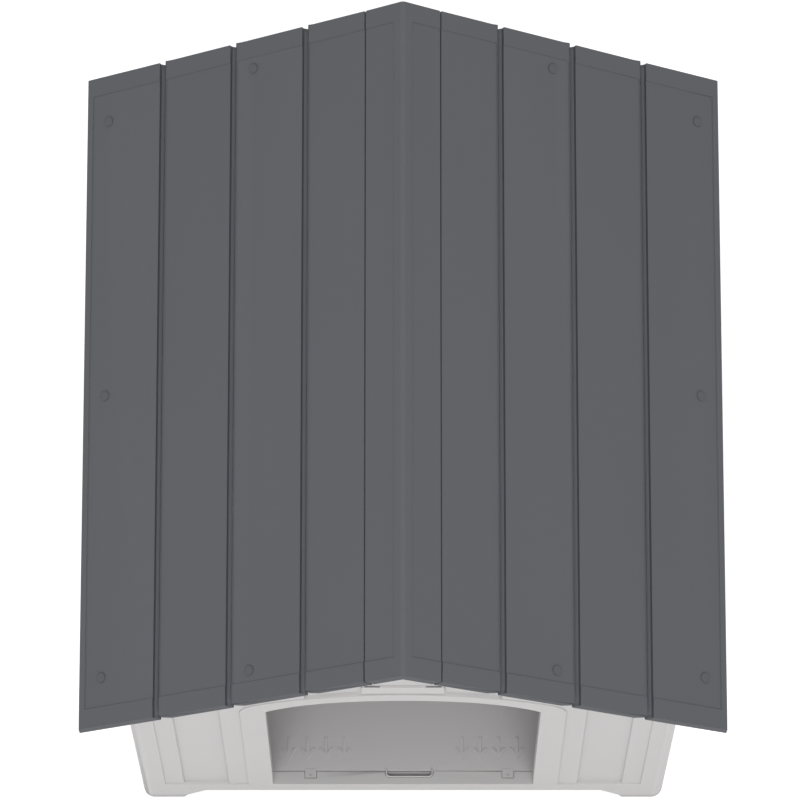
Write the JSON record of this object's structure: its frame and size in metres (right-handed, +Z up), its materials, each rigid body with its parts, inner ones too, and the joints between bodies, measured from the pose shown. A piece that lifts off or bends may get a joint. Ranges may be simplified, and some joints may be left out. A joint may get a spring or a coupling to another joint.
{
  "type": "dog house",
  "caption": "Gabled plastic dog house with a grooved plank roof held by pins, an arched doorway, short feet and a lift-out floor with a finger pull.",
  "frame": {"origin": "middle of the base, on the ground", "axes": "+Z up; the doorway faces -Y; +X is to the right for someone who faces the doorway; the ridge runs along Y"},
  "size_m": [0.74, 0.7788, 0.8059],
  "materials": {
    "wall_plastic": "fine moulded grain, light grey",
    "roof_plastic": "fine moulded grain, slate grey",
    "pin_plastic": "satin, slate grey",
    "screw_steel": "zinc plated"
  },
  "bodies": {
    "house": {"front_wall": "wall_plastic", "back_wall": "wall_plastic", "left_wall": "wall_plastic", "right_wall": "wall_plastic", "roof_left": "roof_plastic", "roof_right": "roof_plastic", "ridge_cap": "roof_plastic", "blank_plate": "wall_plastic", "eave_pins": "pin_plastic", "gable_pins": "pin_plastic", "corner_screws": "screw_steel", "cap_screws": "screw_steel"},
    "floor": {"floor_panel": "wall_plastic"}
  },
  "joints": [
    {"name": "floor_lift", "type": "slide", "parent": "house", "child": "floor", "axis": [0, 0, 1], "range_m": [0, 0.4]}
  ]
}
